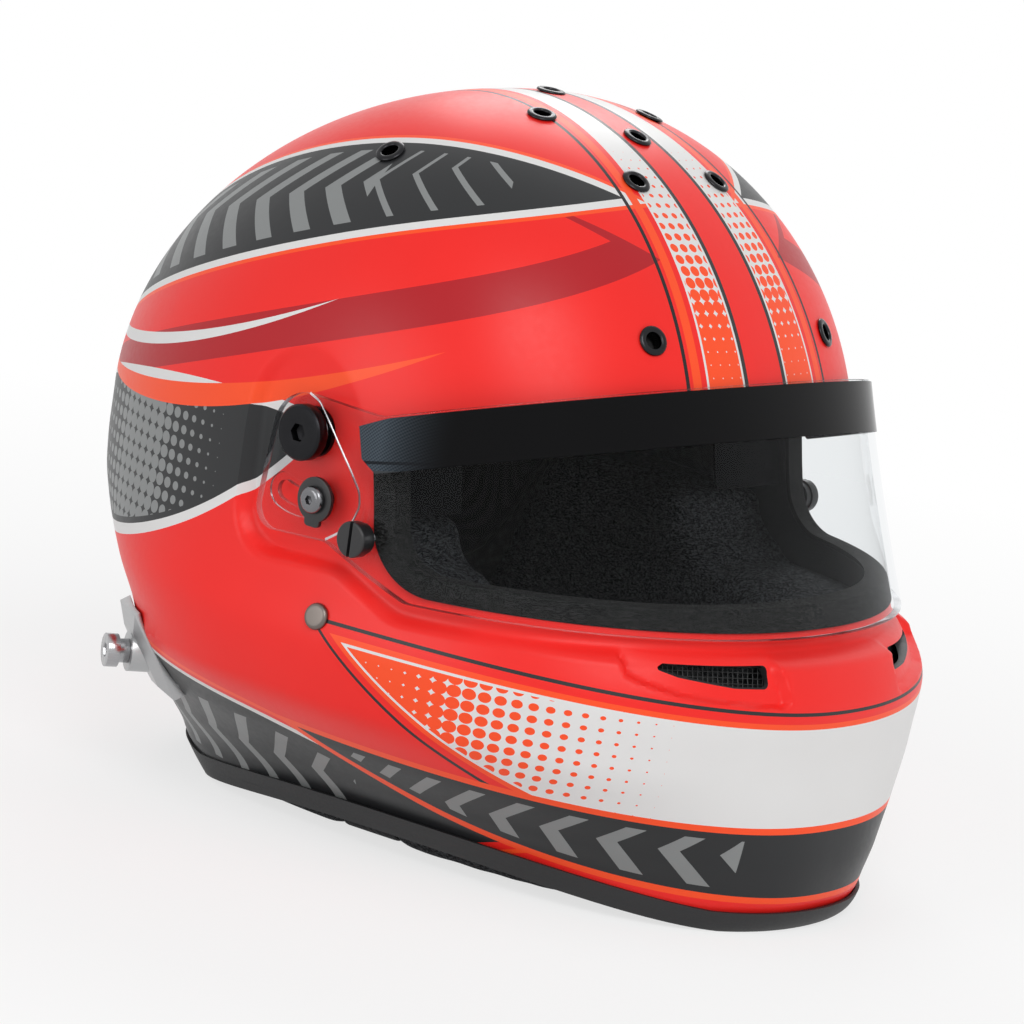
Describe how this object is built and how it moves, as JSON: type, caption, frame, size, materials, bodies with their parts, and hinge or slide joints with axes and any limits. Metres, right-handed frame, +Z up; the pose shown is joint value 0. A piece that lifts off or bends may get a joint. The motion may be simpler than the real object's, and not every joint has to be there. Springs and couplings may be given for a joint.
{
  "type": "auto racing helmet",
  "caption": "Full-face auto racing helmet with a hinged clear visor, sun strip, padded liner, chin strap with rings, chin vents and head restraint anchors.",
  "frame": {"origin": "on the surface that the helmet stands on, under the middle of the helmet's outline", "axes": "+Z up, -Y towards the front (the way the wearer looks), +X towards the wearer's left; visor closed, post slots upright, rings hanging"},
  "size_m": [0.2654, 0.3352, 0.2727],
  "materials": {
    "painted_shell": "satin",
    "impact_foam": "matte",
    "liner_fabric": "matte",
    "lining_edge": "matte",
    "heather_fabric": "matte",
    "gasket_rubber": "matte",
    "trim_rubber": "matte",
    "clear_lens": "gloss",
    "black_film": "gloss",
    "black_eyelet": "satin",
    "strap_webbing": "matte",
    "ring_steel": "polished",
    "black_aluminium": "satin",
    "insert_steel": "satin",
    "black_nylon": "satin",
    "bright_steel": "satin",
    "vent_mesh": "matte",
    "nickel_rivet": "satin",
    "bare_aluminium": "satin"
  },
  "bodies": {
    "helmet": {"shell": "painted_shell", "eps_liner": "impact_foam", "crown_liner": "liner_fabric", "port_lining": "lining_edge", "cheek_pad_left": "heather_fabric", "cheek_pad_right": "heather_fabric", "chin_bar_foam": "impact_foam", "neck_roll": "heather_fabric", "eyeport_gasket": "gasket_rubber", "base_trim": "trim_rubber", "brow_eyelets": "black_eyelet", "crown_eyelets": "black_eyelet", "chin_strap_left": "strap_webbing", "chin_strap_right": "strap_webbing", "pivot_bush_left": "black_aluminium", "pivot_bush_right": "black_aluminium", "pivot_screw_left": "black_aluminium", "pivot_screw_right": "black_aluminium", "pivot_insert_left": "insert_steel", "pivot_insert_right": "insert_steel", "detent_washer_left": "black_nylon", "detent_washer_right": "black_nylon", "detent_screw_left": "bright_steel", "detent_screw_right": "bright_steel", "detent_insert_left": "insert_steel", "detent_insert_right": "insert_steel", "chin_vent_mesh_left": "vent_mesh", "chin_vent_mesh_right": "vent_mesh", "strap_rivet_left": "nickel_rivet", "strap_rivet_right": "nickel_rivet", "strap_washer_left": "insert_steel", "strap_washer_right": "insert_steel", "tether_plate_left": "bare_aluminium", "tether_plate_right": "bare_aluminium", "tether_post_left": "bright_steel", "tether_post_right": "bright_steel", "tether_insert_left": "insert_steel", "tether_insert_right": "insert_steel"},
    "visor": {"visor_lens": "clear_lens", "sun_strip": "black_film"},
    "tear_off_left": {"tear_off_post_left": "black_nylon"},
    "tear_off_right": {"tear_off_post_right": "black_nylon"},
    "strap_rings": {"d_rings": "ring_steel"}
  },
  "joints": [
    {"name": "visor_hinge", "type": "hinge", "parent": "helmet", "child": "visor", "pos_m": [0, -0.00552, 0.1516], "axis": [-1, 0, 0], "range_deg": [0, 39]},
    {"name": "tear_off_turn_left", "type": "hinge", "parent": "visor", "child": "tear_off_left", "pos_m": [0.1258, -0.03784, 0.121], "axis": [1, 0, 0], "range_deg": [-90, 90]},
    {"name": "tear_off_turn_right", "type": "hinge", "parent": "visor", "child": "tear_off_right", "pos_m": [-0.1258, -0.03784, 0.121], "axis": [-1, 0, 0], "range_deg": [-90, 90]},
    {"name": "ring_swing", "type": "hinge", "parent": "helmet", "child": "strap_rings", "pos_m": [0.05297, -0.01648, 0.062], "axis": [0.1028, 0.9947, 0], "range_deg": [0, 70]}
  ]
}
